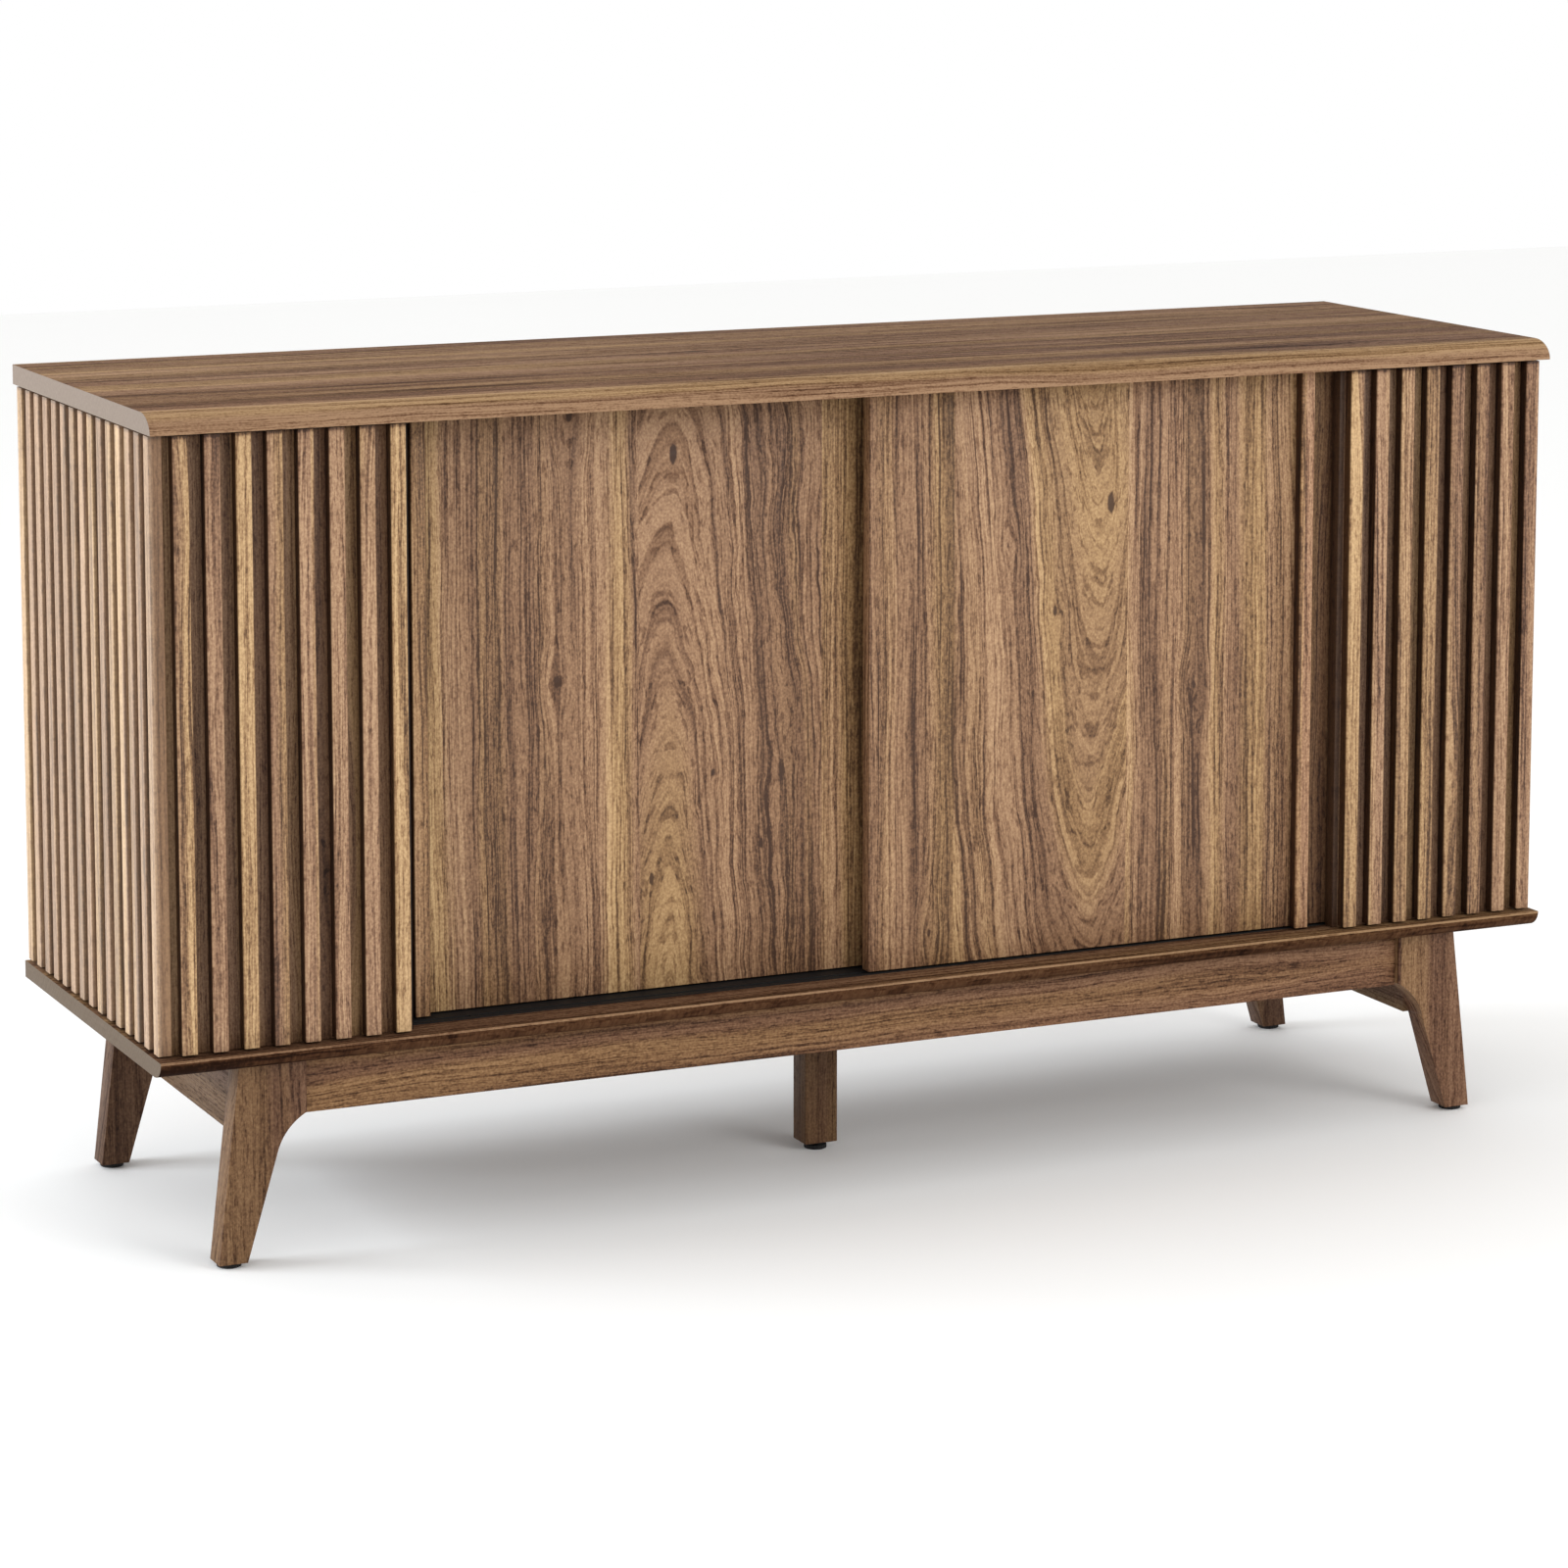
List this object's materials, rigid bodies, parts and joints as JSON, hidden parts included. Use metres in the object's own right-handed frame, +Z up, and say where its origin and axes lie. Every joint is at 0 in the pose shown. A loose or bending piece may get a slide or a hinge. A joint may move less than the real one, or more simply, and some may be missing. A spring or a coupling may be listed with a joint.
{
  "type": "sideboard buffet",
  "caption": "Long low sideboard with slatted ends and front corners, flat sliding doors with slat handles, shelves inside, and a splayed-leg frame on levelling feet.",
  "frame": {"origin": "on the floor, below the middle of the case, halfway along its length and its depth", "axes": "+X along the length to the right as seen from the front, +Y from the front towards the back, +Z up"},
  "size_m": [1.6, 0.48, 0.868],
  "materials": {
    "walnut_boards": "satin walnut laminate, grain along the length",
    "walnut_slats": "satin walnut laminate, upright grain",
    "walnut_panels": "satin walnut laminate, upright grain",
    "walnut_doors": "satin walnut laminate, upright cathedral grain",
    "walnut_frame": "satin darker walnut",
    "inner_boards": "plain satin walnut laminate",
    "back_sheet": "thin hardboard with a printed face",
    "black_plastic": "matt black",
    "zinc_steel": "bright zinc",
    "dowel_wood": "raw beech"
  },
  "bodies": {
    "cabinet": {"apron_front": "walnut_frame", "apron_left": "walnut_frame", "apron_rear": "walnut_frame", "apron_right": "walnut_frame", "back_panel_left": "back_sheet", "back_panel_right": "back_sheet", "back_screws": "zinc_steel", "base_board": "walnut_boards", "bottom_track": "black_plastic", "case_dowels": "dowel_wood", "centre_divider": "inner_boards", "centre_leg": "walnut_frame", "centre_rails": "walnut_frame", "corner_braces": "walnut_frame", "frame_dowels": "dowel_wood", "frame_screws": "zinc_steel", "front_panel_left": "walnut_panels", "front_panel_right": "walnut_panels", "front_slat_left_1": "walnut_slats", "front_slat_left_2": "walnut_slats", "front_slat_left_3": "walnut_slats", "front_slat_left_4": "walnut_slats", "front_slat_left_5": "walnut_slats", "front_slat_left_6": "walnut_slats", "front_slat_left_7": "walnut_slats", "front_slat_left_8": "walnut_slats", "front_slat_right_1": "walnut_slats", "front_slat_right_2": "walnut_slats", "front_slat_right_3": "walnut_slats", "front_slat_right_4": "walnut_slats", "front_slat_right_5": "walnut_slats", "front_slat_right_6": "walnut_slats", "front_slat_right_7": "walnut_slats", "front_slat_right_8": "walnut_slats", "glide_inserts": "zinc_steel", "leg_front_left": "walnut_frame", "leg_front_right": "walnut_frame", "leg_rear_left": "walnut_frame", "leg_rear_right": "walnut_frame", "shelf_left": "inner_boards", "shelf_pins": "zinc_steel", "shelf_right": "inner_boards", "side_panel_left": "walnut_panels", "side_panel_right": "walnut_panels", "side_slats_left": "walnut_slats", "side_slats_right": "walnut_slats", "top_board": "walnut_boards", "top_track": "black_plastic", "track_stops": "black_plastic"},
    "left_door": {"door_left_guides": "black_plastic", "door_left_handle": "walnut_slats", "door_left_panel": "walnut_doors"},
    "right_door": {"door_right_guides": "black_plastic", "door_right_handle": "walnut_slats", "door_right_panel": "walnut_doors"},
    "glide_front_left": {"glide_front_left": "black_plastic"},
    "glide_front_right": {"glide_front_right": "black_plastic"},
    "glide_rear_left": {"glide_rear_left": "black_plastic"},
    "glide_rear_right": {"glide_rear_right": "black_plastic"},
    "glide_centre": {"glide_centre": "black_plastic"}
  },
  "joints": [
    {"name": "left_door_slide", "type": "slide", "parent": "cabinet", "child": "left_door", "axis": [1, 0, 0], "range_m": [0, 0.48]},
    {"name": "right_door_slide", "type": "slide", "parent": "cabinet", "child": "right_door", "axis": [-1, 0, 0], "range_m": [0, 0.48]},
    {"name": "front_left_level", "type": "slide", "parent": "cabinet", "child": "glide_front_left", "axis": [0, 0, -1], "range_m": [0, 0.01]},
    {"name": "front_right_level", "type": "slide", "parent": "cabinet", "child": "glide_front_right", "axis": [0, 0, -1], "range_m": [0, 0.01]},
    {"name": "rear_left_level", "type": "slide", "parent": "cabinet", "child": "glide_rear_left", "axis": [0, 0, -1], "range_m": [0, 0.01]},
    {"name": "rear_right_level", "type": "slide", "parent": "cabinet", "child": "glide_rear_right", "axis": [0, 0, -1], "range_m": [0, 0.01]},
    {"name": "centre_level", "type": "slide", "parent": "cabinet", "child": "glide_centre", "axis": [0, 0, -1], "range_m": [-0.0035, 0.0065]}
  ]
}
